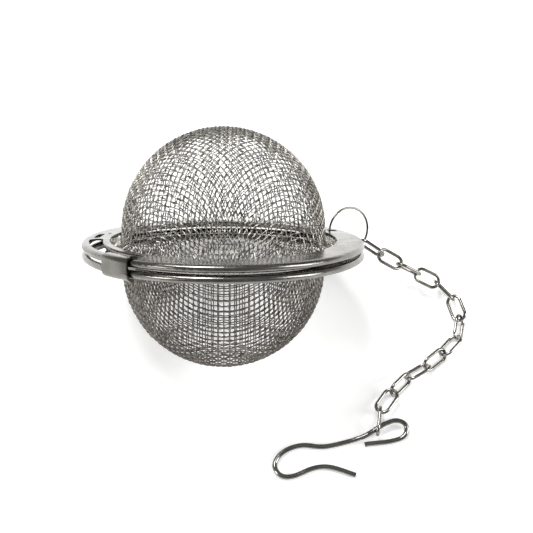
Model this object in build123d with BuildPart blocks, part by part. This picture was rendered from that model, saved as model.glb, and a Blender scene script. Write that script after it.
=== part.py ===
"""Mesh-ball tea infuser lying on a table, with its ring, chain and cup hook.

Millimetres. +Z is up and the table is Z = 0. The origin is on the table, under
the middle of everything that lies there. The ball leans back on its lower bowl
and on the back of its lower rim, as such a ball does when it is put down.

Ball sizes are given as (r, h): the distance from the ball's own axis and the
height along it above the pole of the lower bowl. Azimuths run around that axis
from the side that faces -Y, and grow towards +X.
"""
import os
from math import asin, atan2, cos, hypot, pi, radians, sin

from build123d import *

# where the lower bowl touches the table
FOOT = (-15.213, 7.321)

# bowls
BOWL_R = 25.0
UPPER_CENTRE_H = 34.4
MESH_T = 0.5
BRIM_R = 28.6

# rims: a thin flange between a clamping hem and a rolled bead
PARTING_H = 29.6
BEAD_R = 0.9
BEAD_RING_R = 33.6
BEAD_UP = 1.2
HEM_IN_R = 27.8
HEM_OUT_R = 29.1
FLANGE_T = 0.5
SLOT_R = 31.05
SLOT_W = 3.4
RING_HOLE_R = 1.35
RING_HOLE_AT_R = 31.2

# latch clip at the front left
LATCH_AZ = -44.0
LATCH_HALF = 7.1
TONGUE_HALF = 3.4
LATCH_T = 0.35

# jump ring at the back right
RING_AZ = 116.0
RING_R = 5.9
RING_WIRE_R = 0.3
RING_OUT = 36.45
RING_UP = 31.5
RING_CHAIN_ANGLE = -38.0

# chain
LINK_HALF = 3.55
LINK_HALF_W = 1.75
LINK_WIRE_R = 0.45
LINK_PITCH = 6.0
LINK_INSET = LINK_HALF - LINK_PITCH / 2
# (heading from +X, slope, roll about its own length) of each link, ring end first
LINK_COURSE = [
    (-28, -19, 85),
    (-20, -23, -10),
    (-15, -26, 68),
    (-18, -20, -28),
    (-42, -17, 58),
    (-75, -2, -32),
    (-104, 0, 52),
    (-134, 0, -40),
    (-142, 0, 46),
    (-149, 1, -45),
    (-136, 2, 57),
    (-127, 1, -14),
    (-100, 0, 84),
]

# hook: wire path from the tip of the eye to the cut end, seen from where the
# last link crosses the eye
HOOK_WIRE_R = 0.65
HOOK_PATH = [
    (-3.6, -4.0, -1.6),
    (0.4, -3.5, -1.6),
    (4.2, -2.9, -1.6),
    (6.9, -1.5, -1.3),
    (7.2, 0.7, -0.8),
    (5.3, 1.8, -0.2),
    (2.6, 1.3, 0.0),
    (0.0, 0.0, 0.0),
    (-2.9, -1.6, -0.9),
    (-6.4, -2.8, -1.5),
    (-10.4, -3.8, -1.6),
    (-14.9, -4.4, -1.6),
    (-18.9, -4.0, -1.6),
    (-22.0, -4.6, -1.6),
    (-25.2, -6.6, -1.6),
    (-26.4, -9.5, -1.6),
    (-24.9, -11.7, -1.6),
    (-21.5, -11.8, -1.6),
    (-17.8, -10.3, -1.6),
    (-13.6, -9.6, -1.6),
    (-9.8, -10.5, -1.6),
    (-6.3, -11.8, -1.6),
]

# the ball leans until the lower rim's bead meets the table
bead_up_from_centre = PARTING_H - BEAD_UP - BOWL_R
bead_reach = hypot(BEAD_RING_R, bead_up_from_centre)
LEAN = asin((BOWL_R - BEAD_R) / bead_reach) + atan2(bead_up_from_centre, BEAD_RING_R)
AXIS = Vector(0, sin(LEAN), cos(LEAN))
SIDE = Vector(1, 0, 0)
FRONT = Vector(0, -cos(LEAN), sin(LEAN))
POLE = Vector(FOOT[0], FOOT[1], BOWL_R) - AXIS * BOWL_R
BALL_AXIS = Axis(POLE, AXIS)
BALL_PLANE = Plane(origin=POLE, x_dir=SIDE, z_dir=AXIS)


def outward(azimuth):
    """Unit vector away from the ball's axis at an azimuth."""
    return SIDE * sin(radians(azimuth)) + FRONT * cos(radians(azimuth))


def radial_plane(azimuth):
    """Sketch plane holding the ball's axis: x is r and y is h."""
    out = outward(azimuth)
    return Plane(origin=POLE, x_dir=out, z_dir=out.cross(AXIS))


def place(azimuth, r, h):
    """Point in the frame from an azimuth and (r, h)."""
    return POLE + outward(azimuth) * r + AXIS * h


def mirrored(h, upper):
    """Height of a rim feature, mirrored about the parting plane for the lower rim."""
    return h if upper else 2 * PARTING_H - h


def bowl(upper):
    """Mesh skin of one bowl: dome, flare and flat brim."""
    sign = 1 if upper else -1
    centre = UPPER_CENTRE_H if upper else BOWL_R
    brim_h = mirrored(PARTING_H + 1.5, upper)
    r_mid = BOWL_R - MESH_T / 2
    flare = 2.4
    neck_h = brim_h + sign * flare
    with BuildPart() as skin:
        with BuildSketch(radial_plane(0)):
            with BuildLine() as centreline:
                CenterArc((0, centre), r_mid, 0, sign * 90)
                Line((r_mid, centre), (r_mid, neck_h))
                CenterArc((r_mid + flare, neck_h), flare, 180, sign * 90)
                Line((r_mid + flare, brim_h), (BRIM_R, brim_h))
            trace(centreline.edges(), MESH_T)
            with Locations((-BOWL_R / 2, PARTING_H)):
                Rectangle(BOWL_R, 4 * BOWL_R, mode=Mode.SUBTRACT)
        revolve(axis=BALL_AXIS)
    return skin


def rim(upper):
    """Folded ring: hem that grips the mesh, thin slotted flange, rolled bead."""
    hem_low = mirrored(PARTING_H + 0.95, upper)
    hem_top = mirrored(PARTING_H + 2.3, upper)
    plate_top = mirrored(PARTING_H + BEAD_UP + BEAD_R, upper)
    thick = FLANGE_T if upper else -FLANGE_T
    groove = mirrored(PARTING_H + 1.5, upper)
    slot_start, slot_end = (-39, -87) if upper else (-36, -112)
    with BuildPart() as ring:
        with BuildSketch(radial_plane(0)):
            with BuildLine():
                Polyline(
                    (HEM_IN_R, hem_low),
                    (HEM_OUT_R, hem_low),
                    (HEM_OUT_R, hem_top - thick),
                    (BEAD_RING_R, plate_top - thick),
                    (BEAD_RING_R, plate_top),
                    (HEM_IN_R, hem_top),
                    close=True,
                )
            make_face()
            with Locations((HEM_IN_R, groove)):
                Rectangle(2 * (BRIM_R - HEM_IN_R) + 0.1, MESH_T + 0.06, mode=Mode.SUBTRACT)
        revolve(axis=BALL_AXIS)
        with BuildSketch(BALL_PLANE.offset(PARTING_H - 4)):
            with BuildLine() as slot_line:
                CenterArc((0, 0), SLOT_R, slot_start - 90, slot_end - slot_start)
            SlotArc(slot_line.edges()[0], SLOT_W)
            with PolarLocations(RING_HOLE_AT_R, 1, RING_AZ - 90):
                Circle(RING_HOLE_R)
            if upper:
                with BuildLine() as tail_line:
                    CenterArc((0, 0), 31.4, -94.5 - 90, -8)
                SlotArc(tail_line.edges()[0], 1.5)
                with PolarLocations(29.9, 1, -106 - 90):
                    SlotOverall(1.0, 0.9, rotation=90)
            else:
                # notch beside the bead, where the latch curls and swings through
                with BuildLine() as notch_line:
                    CenterArc((0, 0), BEAD_RING_R - 0.7, LATCH_AZ + LATCH_HALF - 90, -2 * LATCH_HALF)
                SlotArc(notch_line.edges()[0], 1.4)
        extrude(amount=8, mode=Mode.SUBTRACT)
        with BuildSketch(radial_plane(0)):
            with Locations((BEAD_RING_R, mirrored(PARTING_H + BEAD_UP, upper))):
                Circle(BEAD_R)
        revolve(axis=BALL_AXIS)
    return ring


def latch_face(grow):
    """Section line of the latch: under the lower bead, up the outside, over the top."""
    bx, by = BEAD_RING_R, PARTING_H - BEAD_UP
    under = 1.475 + grow
    over = 3.62 + grow
    crest = (bx + over * cos(radians(80)), by + over * sin(radians(80)))
    drop = (bx + over * cos(radians(130)), by + over * sin(radians(130)))
    CenterArc((bx, by), under, -110, 110)
    Line((bx + under, by), (bx + under, by + 2.65))
    TangentArc((bx + under, by + 2.65), crest, tangent=(0, 1))
    CenterArc((bx, by), over, 80, 50)
    Line(drop, (drop[0] - 0.8, drop[1] + 0.45))


def link_frame(course):
    """Direction, edge direction and normal of a link from its heading, slope and roll."""
    heading, slope, roll = (radians(a) for a in course)
    along = Vector(cos(slope) * cos(heading), cos(slope) * sin(heading), sin(slope))
    across = Vector(0, 0, 1).cross(along).normalized()
    up = along.cross(across)
    normal = up * cos(roll) + across * sin(roll)
    return along, normal.cross(along), normal


os.makedirs("parts", exist_ok=True)

for name, build in (("mesh", bowl), ("rim", rim)):
    for half, upper in (("lower", False), ("upper", True)):
        piece = build(upper)
        piece.part.label = f"{half}_{name}"
        export_step(piece.part, f"parts/{half}_{name}.step")

with BuildPart() as latch_clip:
    with BuildSketch(radial_plane(LATCH_AZ - LATCH_HALF)):
        with BuildLine() as face_line:
            latch_face(0)
        trace(face_line.edges(), LATCH_T)
    revolve(axis=BALL_AXIS, revolution_arc=2 * LATCH_HALF)
    # turned lip along the edge that faces the front
    with BuildSketch(radial_plane(LATCH_AZ + LATCH_HALF - 0.8)):
        with BuildLine() as lip_line:
            latch_face(0.2)
        trace(lip_line.edges(), LATCH_T)
    revolve(axis=BALL_AXIS, revolution_arc=0.8)
    # tongue that goes through the slot and curls round the lower bead
    with BuildSketch(radial_plane(LATCH_AZ - TONGUE_HALF)):
        with BuildLine() as tongue_line:
            CenterArc((BEAD_RING_R, PARTING_H - BEAD_UP), 1.17, 120, 180)
        trace(tongue_line.edges(), 0.3)
    revolve(axis=BALL_AXIS, revolution_arc=2 * TONGUE_HALF)
latch_clip.part.label = "latch_clip"
export_step(latch_clip.part, "parts/latch_clip.step")

ring_centre = place(RING_AZ, RING_OUT, RING_UP)
ring_out = outward(RING_AZ)
ring_normal = ring_out.cross(AXIS)
with BuildPart() as jump_ring:
    with BuildSketch(Plane(origin=ring_centre + ring_out * RING_R, x_dir=ring_out, z_dir=AXIS)):
        Circle(RING_WIRE_R)
    revolve(axis=Axis(ring_centre, ring_normal))
jump_ring.part.label = "jump_ring"
export_step(jump_ring.part, "parts/jump_ring.step")

# oval wire link along X, lying in the XY plane
straight = LINK_HALF - LINK_HALF_W
with BuildPart() as plain_link:
    with BuildSketch(Plane(origin=(-straight, LINK_HALF_W, 0), z_dir=(1, 0, 0))):
        Circle(LINK_WIRE_R)
    extrude(amount=2 * straight)
    mirror(about=Plane.XZ)
    for end in (1, -1):
        with BuildSketch(Plane(origin=(end * straight, LINK_HALF_W, 0), z_dir=(1, 0, 0))):
            Circle(LINK_WIRE_R)
        revolve(axis=Axis((end * straight, 0, 0), (0, 0, 1)), revolution_arc=-180 * end)

chain_turn = radians(RING_CHAIN_ANGLE)
joint = ring_centre + (ring_out * cos(chain_turn) + AXIS * sin(chain_turn)) * RING_R
reach_in = LINK_HALF - LINK_WIRE_R - RING_WIRE_R - 0.1
for number, course in enumerate(LINK_COURSE, 1):
    along, edge, normal = link_frame(course)
    centre = joint + along * reach_in
    seat = Plane(origin=centre, x_dir=along, z_dir=normal)
    with BuildPart() as link:
        add(plain_link.part.moved(seat.location))
    link.part.label = f"chain_link_{number:02d}"
    export_step(link.part, f"parts/chain_link_{number:02d}.step")
    joint = centre + along * (LINK_HALF - LINK_INSET)
    reach_in = LINK_HALF - LINK_INSET

eye = centre + along * (LINK_HALF - LINK_WIRE_R - HOOK_WIRE_R - 0.7)
hook_points = [Vector(eye.X + x, eye.Y + y, HOOK_WIRE_R + 1.65 + z) for x, y, z in HOOK_PATH]
with BuildPart() as hook:
    with BuildLine() as hook_line:
        Spline(*hook_points)
    with BuildSketch(Plane(origin=hook_line.line @ 0, z_dir=hook_line.line % 0)):
        Circle(HOOK_WIRE_R)
    sweep(path=hook_line.wires()[0])
hook.part.label = "hook"
export_step(hook.part, "parts/hook.step")
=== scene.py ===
"""Looks of a mesh-ball tea infuser: woven wire bowls, steel finishes, floor, lights and camera.

The ball's own sizes are millimetres, as in the CAD: r is the distance from its leaning axis, and h
the height along that axis above the pole of the lower bowl. Everything else is in metres.
"""

import math

import bpy
import numpy as np
from mathutils import Matrix, Vector


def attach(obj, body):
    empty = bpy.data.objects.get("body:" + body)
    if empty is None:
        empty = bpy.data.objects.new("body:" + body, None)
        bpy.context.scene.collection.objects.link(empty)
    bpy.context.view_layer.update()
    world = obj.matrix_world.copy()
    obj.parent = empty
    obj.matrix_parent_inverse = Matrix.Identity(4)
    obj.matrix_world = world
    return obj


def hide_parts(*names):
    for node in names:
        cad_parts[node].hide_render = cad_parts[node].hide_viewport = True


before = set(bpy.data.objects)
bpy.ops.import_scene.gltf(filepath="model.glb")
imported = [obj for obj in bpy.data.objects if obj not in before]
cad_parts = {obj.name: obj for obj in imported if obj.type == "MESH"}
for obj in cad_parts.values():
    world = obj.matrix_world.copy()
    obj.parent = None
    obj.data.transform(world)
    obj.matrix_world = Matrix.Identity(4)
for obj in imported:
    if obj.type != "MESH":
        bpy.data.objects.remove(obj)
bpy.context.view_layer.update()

MM = 0.001

# bowls and lower bead, as in the CAD
FOOT = np.array([-15.213, 7.321, 0.0])
BOWL_R = 25.0
PARTING_H = 29.6
UPPER_CENTRE_H = 34.4
BEAD_R = 0.9
BEAD_RING_R = 33.6
BEAD_UP = 1.2

# the wires flare outward above the bowl and end inside the rim's hem
FLARE_R = 2.4
BRIM_R = 28.5
BRIM_UP = 1.5

# the ball leans back until the lower bead is down on the table
BEAD_H = PARTING_H - BEAD_UP - BOWL_R
LEAN = math.asin((BOWL_R - BEAD_R) / math.hypot(BEAD_RING_R, BEAD_H)) + math.atan2(BEAD_H, BEAD_RING_R)
AXIS = np.array([0.0, math.sin(LEAN), math.cos(LEAN)])
SIDE = np.array([1.0, 0.0, 0.0])
BACK = np.array([0.0, math.cos(LEAN), -math.sin(LEAN)])
POLE = FOOT + np.array([0.0, 0.0, BOWL_R]) - AXIS * BOWL_R

# woven wire
PITCH = 1.42
WIRE_R = 0.165
WIRE_SIDES = 5
CRIMP = 0.15
WOBBLE = 0.02
END_GAP = 0.05
FEWEST_CROSSINGS = 4
MESH_MID_R = 24.64


# ---------------------------------------------------------------- materials
def nodes_of(name):
    mat = bpy.data.materials.new(name)
    mat.use_nodes = True
    tree = mat.node_tree
    return mat, tree, tree.nodes["Principled BSDF"]


def link(tree, a, out, b, inp):
    tree.links.new(a.outputs[out], b.inputs[inp])


def steel(name, dark, light, rough, spread, grain, bump, stretch=(1, 1, 1), tone_and_glint_scale=180.0):
    """Stainless steel: cloudy tone, handling marks in the gloss, fine brushed or drawn grain. At a
    fine scale the tone noise paints glints instead of cloudy patches.
    """
    mat, tree, bsdf = nodes_of(name)
    new = tree.nodes.new
    bsdf.inputs["Metallic"].default_value = 1.0
    coord = new("ShaderNodeTexCoord")
    mapping = new("ShaderNodeMapping")
    mapping.inputs["Scale"].default_value = stretch
    link(tree, coord, "Object", mapping, "Vector")
    cloud = new("ShaderNodeTexNoise")
    cloud.inputs["Scale"].default_value = tone_and_glint_scale
    cloud.inputs["Detail"].default_value = 6.0
    cloud.inputs["Roughness"].default_value = 0.6
    link(tree, coord, "Object", cloud, "Vector")
    tone = new("ShaderNodeValToRGB")
    tone.color_ramp.elements[0].position = 0.3
    tone.color_ramp.elements[0].color = (*dark, 1)
    tone.color_ramp.elements[1].position = 0.72
    tone.color_ramp.elements[1].color = (*light, 1)
    link(tree, cloud, "Fac", tone, "Fac")
    link(tree, tone, "Color", bsdf, "Base Color")
    marks = new("ShaderNodeTexNoise")
    marks.inputs["Scale"].default_value = grain
    marks.inputs["Detail"].default_value = 8.0
    marks.inputs["Distortion"].default_value = 0.4
    link(tree, mapping, "Vector", marks, "Vector")
    gloss = new("ShaderNodeMapRange")
    gloss.inputs["From Min"].default_value = 0.3
    gloss.inputs["From Max"].default_value = 0.7
    gloss.inputs["To Min"].default_value = max(0.03, rough - spread)
    gloss.inputs["To Max"].default_value = rough + spread
    link(tree, marks, "Fac", gloss, "Value")
    link(tree, gloss, "Result", bsdf, "Roughness")
    relief = new("ShaderNodeBump")
    relief.inputs["Strength"].default_value = bump
    relief.inputs["Distance"].default_value = 0.00005
    link(tree, marks, "Fac", relief, "Height")
    link(tree, relief, "Normal", bsdf, "Normal")
    return mat


# One wire steel in two copies: the upper bowl's is painted lighter as painted light from above, the
# lower bowl's darker as painted shade. The fine tone noise (850) paints glints along each wire,
# lighter and darker from crossing to crossing.
WIRE_UPPER_PAINTED_LIGHT = steel(
    "wire_upper_painted_light", (0.10, 0.095, 0.084), (0.62, 0.60, 0.55),
    0.24, 0.08, 900, 0.15, tone_and_glint_scale=850.0,
)
WIRE_LOWER_PAINTED_SHADE = steel(
    "wire_lower_painted_shade", (0.07, 0.064, 0.056), (0.36, 0.335, 0.30),
    0.30, 0.08, 900, 0.15, tone_and_glint_scale=850.0,
)
RIM_STEEL = steel(
    "rim_steel", (0.15, 0.144, 0.13), (0.26, 0.252, 0.232),
    0.22, 0.07, 260, 0.12, (1, 6, 1),
)
CLIP_STEEL = steel(
    "clip_steel", (0.13, 0.125, 0.112), (0.21, 0.203, 0.186),
    0.17, 0.05, 420, 0.10, (1, 3, 3),
)
CHAIN_STEEL = steel(
    "chain_steel", (0.20, 0.194, 0.178), (0.40, 0.39, 0.36),
    0.14, 0.05, 700, 0.10,
)
HOOK_STEEL = steel(
    "hook_steel", (0.18, 0.176, 0.163), (0.32, 0.314, 0.293),
    0.12, 0.05, 380, 0.08, (4, 1, 1),
)
RING_STEEL = steel(
    "ring_steel", (0.15, 0.146, 0.134), (0.28, 0.273, 0.255),
    0.16, 0.05, 600, 0.08,
)


# ---------------------------------------------------------------- mesh bowls
def bowl_profile(upper):
    """Mid line of one bowl from its pole to the brim, as arc length, r and h."""
    r, h = [], []
    if upper:
        centre, brim, sign = UPPER_CENTRE_H, PARTING_H + BRIM_UP, 1
    else:
        centre, brim, sign = BOWL_R, PARTING_H - BRIM_UP, -1
    neck = brim + sign * FLARE_R
    for t in np.linspace(0, math.pi / 2, 60):
        r.append(MESH_MID_R * math.sin(t))
        h.append(centre + sign * MESH_MID_R * math.cos(t))
    for t in np.linspace(0, 1, 6)[1:]:
        r.append(MESH_MID_R)
        h.append(centre + (neck - centre) * t)
    for t in np.linspace(0, math.pi / 2, 16)[1:]:
        r.append(MESH_MID_R + FLARE_R * (1 - math.cos(t)))
        h.append(neck - sign * FLARE_R * math.sin(t))
    r.append(BRIM_R)
    h.append(brim)
    r, h = np.array(r), np.array(h)
    s = np.concatenate([[0], np.cumsum(np.hypot(np.diff(r), np.diff(h)))])
    return s, r, h


def woven_net(count):
    """Square net laid over a sphere with every cell side one pitch long, pole at the middle."""
    step = PITCH / MESH_MID_R
    grid = np.full((2 * count + 1, 2 * count + 1, 3), np.nan)
    for k in range(-count, count + 1):
        grid[count + k, count] = (math.sin(k * step), 0, math.cos(k * step))
        grid[count, count + k] = (0, math.sin(k * step), math.cos(k * step))
    for sx in (1, -1):
        for sy in (1, -1):
            for i in range(1, count + 1):
                for j in range(1, count + 1):
                    a = grid[count + sx * i, count + sy * (j - 1)]
                    b = grid[count + sx * (i - 1), count + sy * j]
                    c = grid[count + sx * (i - 1), count + sy * (j - 1)]
                    n = np.cross(a, b)
                    size = np.linalg.norm(n)
                    if not size > 1e-6:
                        continue
                    n = n / size
                    grid[count + sx * i, count + sy * j] = c - 2 * np.dot(c, n) * n
    return grid


def tube_mesh(name, paths, mat):
    """One mesh of round wires along the given paths."""
    verts, faces = [], []
    base = 0
    sides = WIRE_SIDES
    ring = np.linspace(0, 2 * math.pi, sides, endpoint=False)
    for path in paths:
        n = len(path)
        tangent = np.gradient(path, axis=0)
        tangent /= np.linalg.norm(tangent, axis=1)[:, None]
        # any direction well off the wire's own starts its cross-section
        off_wire = np.array([0.31, 0.27, 0.91])
        if abs(np.dot(off_wire, tangent[0])) > 0.9:
            off_wire = np.array([1.0, 0.0, 0.0])
        u = np.cross(tangent[0], off_wire)
        u /= np.linalg.norm(u)
        for k in range(n):
            u = u - np.dot(u, tangent[k]) * tangent[k]
            u /= np.linalg.norm(u)
            v = np.cross(tangent[k], u)
            verts.append(path[k] + WIRE_R * (np.cos(ring)[:, None] * u + np.sin(ring)[:, None] * v))
        for k in range(n - 1):
            for q in range(sides):
                a = base + k * sides + q
                b = base + k * sides + (q + 1) % sides
                faces.append((a, b, b + sides, a + sides))
        faces.append(tuple(base + q for q in reversed(range(sides))))
        faces.append(tuple(base + (n - 1) * sides + q for q in range(sides)))
        base += n * sides
    mesh = bpy.data.meshes.new(name)
    mesh.from_pydata((np.concatenate(verts) * MM).tolist(), [], faces)
    mesh.polygons.foreach_set("use_smooth", [True] * len(mesh.polygons))
    mesh.materials.append(mat)
    obj = bpy.data.objects.new(name, mesh)
    bpy.context.scene.collection.objects.link(obj)
    return obj


def one_wire(table, family, line):
    """A row of the net for a warp wire, a column for a weft wire."""
    return table[line, :] if family == "warp" else table[:, line]


def unbroken(inside, middle):
    """Crossings of the unbroken stretch around the middle one."""
    first = last = middle
    while first > 0 and inside[first - 1]:
        first -= 1
    while last + 1 < len(inside) and inside[last + 1]:
        last += 1
    return np.arange(first, last + 1)


def smooth(points):
    """Catmull-Rom curve through the points, four steps to a span."""
    ends = np.vstack([2 * points[0] - points[1], points, 2 * points[-1] - points[-2]])
    curve = []
    for p0, p1, p2, p3 in zip(ends, ends[1:], ends[2:], ends[3:]):
        for t in (0, 0.25, 0.5, 0.75):
            first = (p2 - p0) * t
            second = (2 * p0 - 5 * p1 + 4 * p2 - p3) * t * t
            third = (3 * p1 - 3 * p2 + p3 - p0) * t**3
            curve.append(0.5 * (2 * p1 + first + second + third))
    curve.append(points[-1])
    return np.array(curve)


def weave(upper, turn, mat):
    """Warp and weft of one bowl: a square net laid on its mid line, crimped over and under."""
    s_line, r_line, h_line = bowl_profile(upper)
    s_end = s_line[-1]
    count = int(s_end / PITCH) + 3
    net = woven_net(count)
    polar = np.arccos(np.clip(net[..., 2], -1, 1)) * MESH_MID_R
    around = np.arctan2(net[..., 1], net[..., 0]) + math.radians(turn)
    r = np.interp(polar, s_line, r_line)
    h = np.interp(polar, s_line, h_line)
    ds = 0.05
    dr = (np.interp(polar + ds, s_line, r_line) - np.interp(polar - ds, s_line, r_line)) / (2 * ds)
    dh = (np.interp(polar + ds, s_line, h_line) - np.interp(polar - ds, s_line, h_line)) / (2 * ds)
    flip = -1 if upper else 1
    normal_r, normal_h = dh * flip, -dr * flip
    rng = np.random.default_rng(7 if upper else 3)
    made = []
    for family in ("warp", "weft"):
        over_first = 1 if family == "warp" else -1
        paths = []
        for line in range(2 * count + 1):
            reach = one_wire(polar, family, line)
            inside = np.isfinite(reach) & (reach <= s_end - END_GAP)
            run = np.where(inside)[0]
            if len(run) < FEWEST_CROSSINGS:
                continue
            idx = unbroken(inside, count if inside[count] else run[len(run) // 2])
            if len(idx) < FEWEST_CROSSINGS:
                continue
            bump = CRIMP * (np.where((idx + line) % 2 == 0, 1.0, -1.0) * over_first)
            rr = one_wire(r, family, line)[idx] + one_wire(normal_r, family, line)[idx] * bump
            hh = one_wire(h, family, line)[idx] + one_wire(normal_h, family, line)[idx] * bump
            aa = one_wire(around, family, line)[idx]
            local = np.stack([rr * np.sin(aa), -rr * np.cos(aa), hh], 1)
            local += rng.normal(0, WOBBLE, local.shape)
            wire = smooth(local)
            paths.append(POLE + wire[:, :1] * SIDE + wire[:, 1:2] * BACK + wire[:, 2:] * AXIS)
        name = ("upper" if upper else "lower") + "_mesh_" + family
        made.append(tube_mesh(name, paths, mat))
    return made


# the lower bowl takes the painted-shade copy of the wire steel, the upper bowl the painted-light copy
for upper, body, node, turn, mat in (
    (False, "lower_half", "lower_mesh", 0, WIRE_LOWER_PAINTED_SHADE),
    (True, "upper_half", "upper_mesh", 45, WIRE_UPPER_PAINTED_LIGHT),
):
    for wires in weave(upper, turn, mat):
        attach(wires, body)
        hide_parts(node)

# ---------------------------------------------------------------- CAD pieces
finish = {"rim": RIM_STEEL, "latch": CLIP_STEEL, "jump": RING_STEEL, "hook": HOOK_STEEL}
for name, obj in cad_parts.items():
    mat = CHAIN_STEEL
    for key, value in finish.items():
        if key in name:
            mat = value
    obj.data.materials.clear()
    obj.data.materials.append(mat)

# ---------------------------------------------------------------- floor and light
FLOOR_HALF = 3
LIGHT_AIM = (-0.01, 0, 0.02)
# height up the sky, from 0 at the bottom to 1 at the top, and the tone of each band there
SKY_BANDS = ((0.45, 0.30), (0.52, 0.02), (0.60, 0.06), (0.72, 0.9), (0.80, 0.10))

floor_mesh = bpy.data.meshes.new("floor")
corners = [(x * FLOOR_HALF, y * FLOOR_HALF, 0) for x, y in ((-1, -1), (1, -1), (1, 1), (-1, 1))]
floor_mesh.from_pydata(corners, [], [(0, 1, 2, 3)])
floor = bpy.data.objects.new("floor", floor_mesh)
bpy.context.scene.collection.objects.link(floor)
floor_mat, tree, bsdf = nodes_of("floor_white")
bsdf.inputs["Base Color"].default_value = (0.97, 0.97, 0.97, 1)
bsdf.inputs["Roughness"].default_value = 0.9
bsdf.inputs["Specular IOR Level"].default_value = 0.0
bsdf.inputs["Emission Color"].default_value = (1, 1, 1, 1)
bsdf.inputs["Emission Strength"].default_value = 0.35
floor.data.materials.append(floor_mat)


def softbox(name, where, size, watts):
    """Soft rectangular light that faces the object."""
    data = bpy.data.lights.new(name, "AREA")
    data.shape = "RECTANGLE"
    data.size, data.size_y = size
    data.energy = watts
    lamp = bpy.data.objects.new(name, data)
    lamp.location = where
    lamp.rotation_euler = (Vector(LIGHT_AIM) - Vector(where)).to_track_quat("-Z", "Y").to_euler()
    bpy.context.scene.collection.objects.link(lamp)


softbox("key", (-0.25, 0.35, 0.75), (0.35, 0.3), 6.0)
softbox("side", (0.6, -0.1, 0.35), (0.25, 0.4), 2.5)
softbox("left", (-0.6, -0.3, 0.4), (0.2, 0.4), 1.8)

world = bpy.data.worlds.new("studio")
bpy.context.scene.world = world
world.use_nodes = True
sky = world.node_tree
back = sky.nodes["Background"]
coord = sky.nodes.new("ShaderNodeTexCoord")
split = sky.nodes.new("ShaderNodeSeparateXYZ")
ramp = sky.nodes.new("ShaderNodeValToRGB")
ramp.color_ramp.elements[0].position = 0.0
ramp.color_ramp.elements[0].color = (0.75, 0.75, 0.75, 1)
ramp.color_ramp.elements[1].position = 1.0
ramp.color_ramp.elements[1].color = (0.60, 0.60, 0.59, 1)
for height, tone in SKY_BANDS:
    band = ramp.color_ramp.elements.new(height)
    band.color = (tone, tone, tone * 0.98, 1)
sky.links.new(coord.outputs["Generated"], split.inputs["Vector"])
sky.links.new(split.outputs["Z"], ramp.inputs["Fac"])
sky.links.new(ramp.outputs["Color"], back.inputs["Color"])
back.inputs["Strength"].default_value = 0.7

# ---------------------------------------------------------------- camera
cam_data = bpy.data.cameras.new("camera")
cam_data.lens = 69.5
cam_data.sensor_width = 36.0
cam_data.clip_start = 0.01
cam = bpy.data.objects.new("camera", cam_data)
# the camera's own right, up and viewing directions, and where it stands
right = Vector((0.99914, -0.01991, 0.03632))
up = Vector((0.00075, 0.88544, 0.46476))
look = Vector((0.04141, 0.46433, -0.88469))
place = Vector((-0.015213, -0.111156, 0.250410))
cam.matrix_world = Matrix(
    (
        (right.x, up.x, -look.x, place.x),
        (right.y, up.y, -look.y, place.y),
        (right.z, up.z, -look.z, place.z),
        (0, 0, 0, 1),
    )
)
bpy.context.scene.collection.objects.link(cam)
bpy.context.scene.camera = cam
bpy.context.scene.view_settings.view_transform = "Standard"
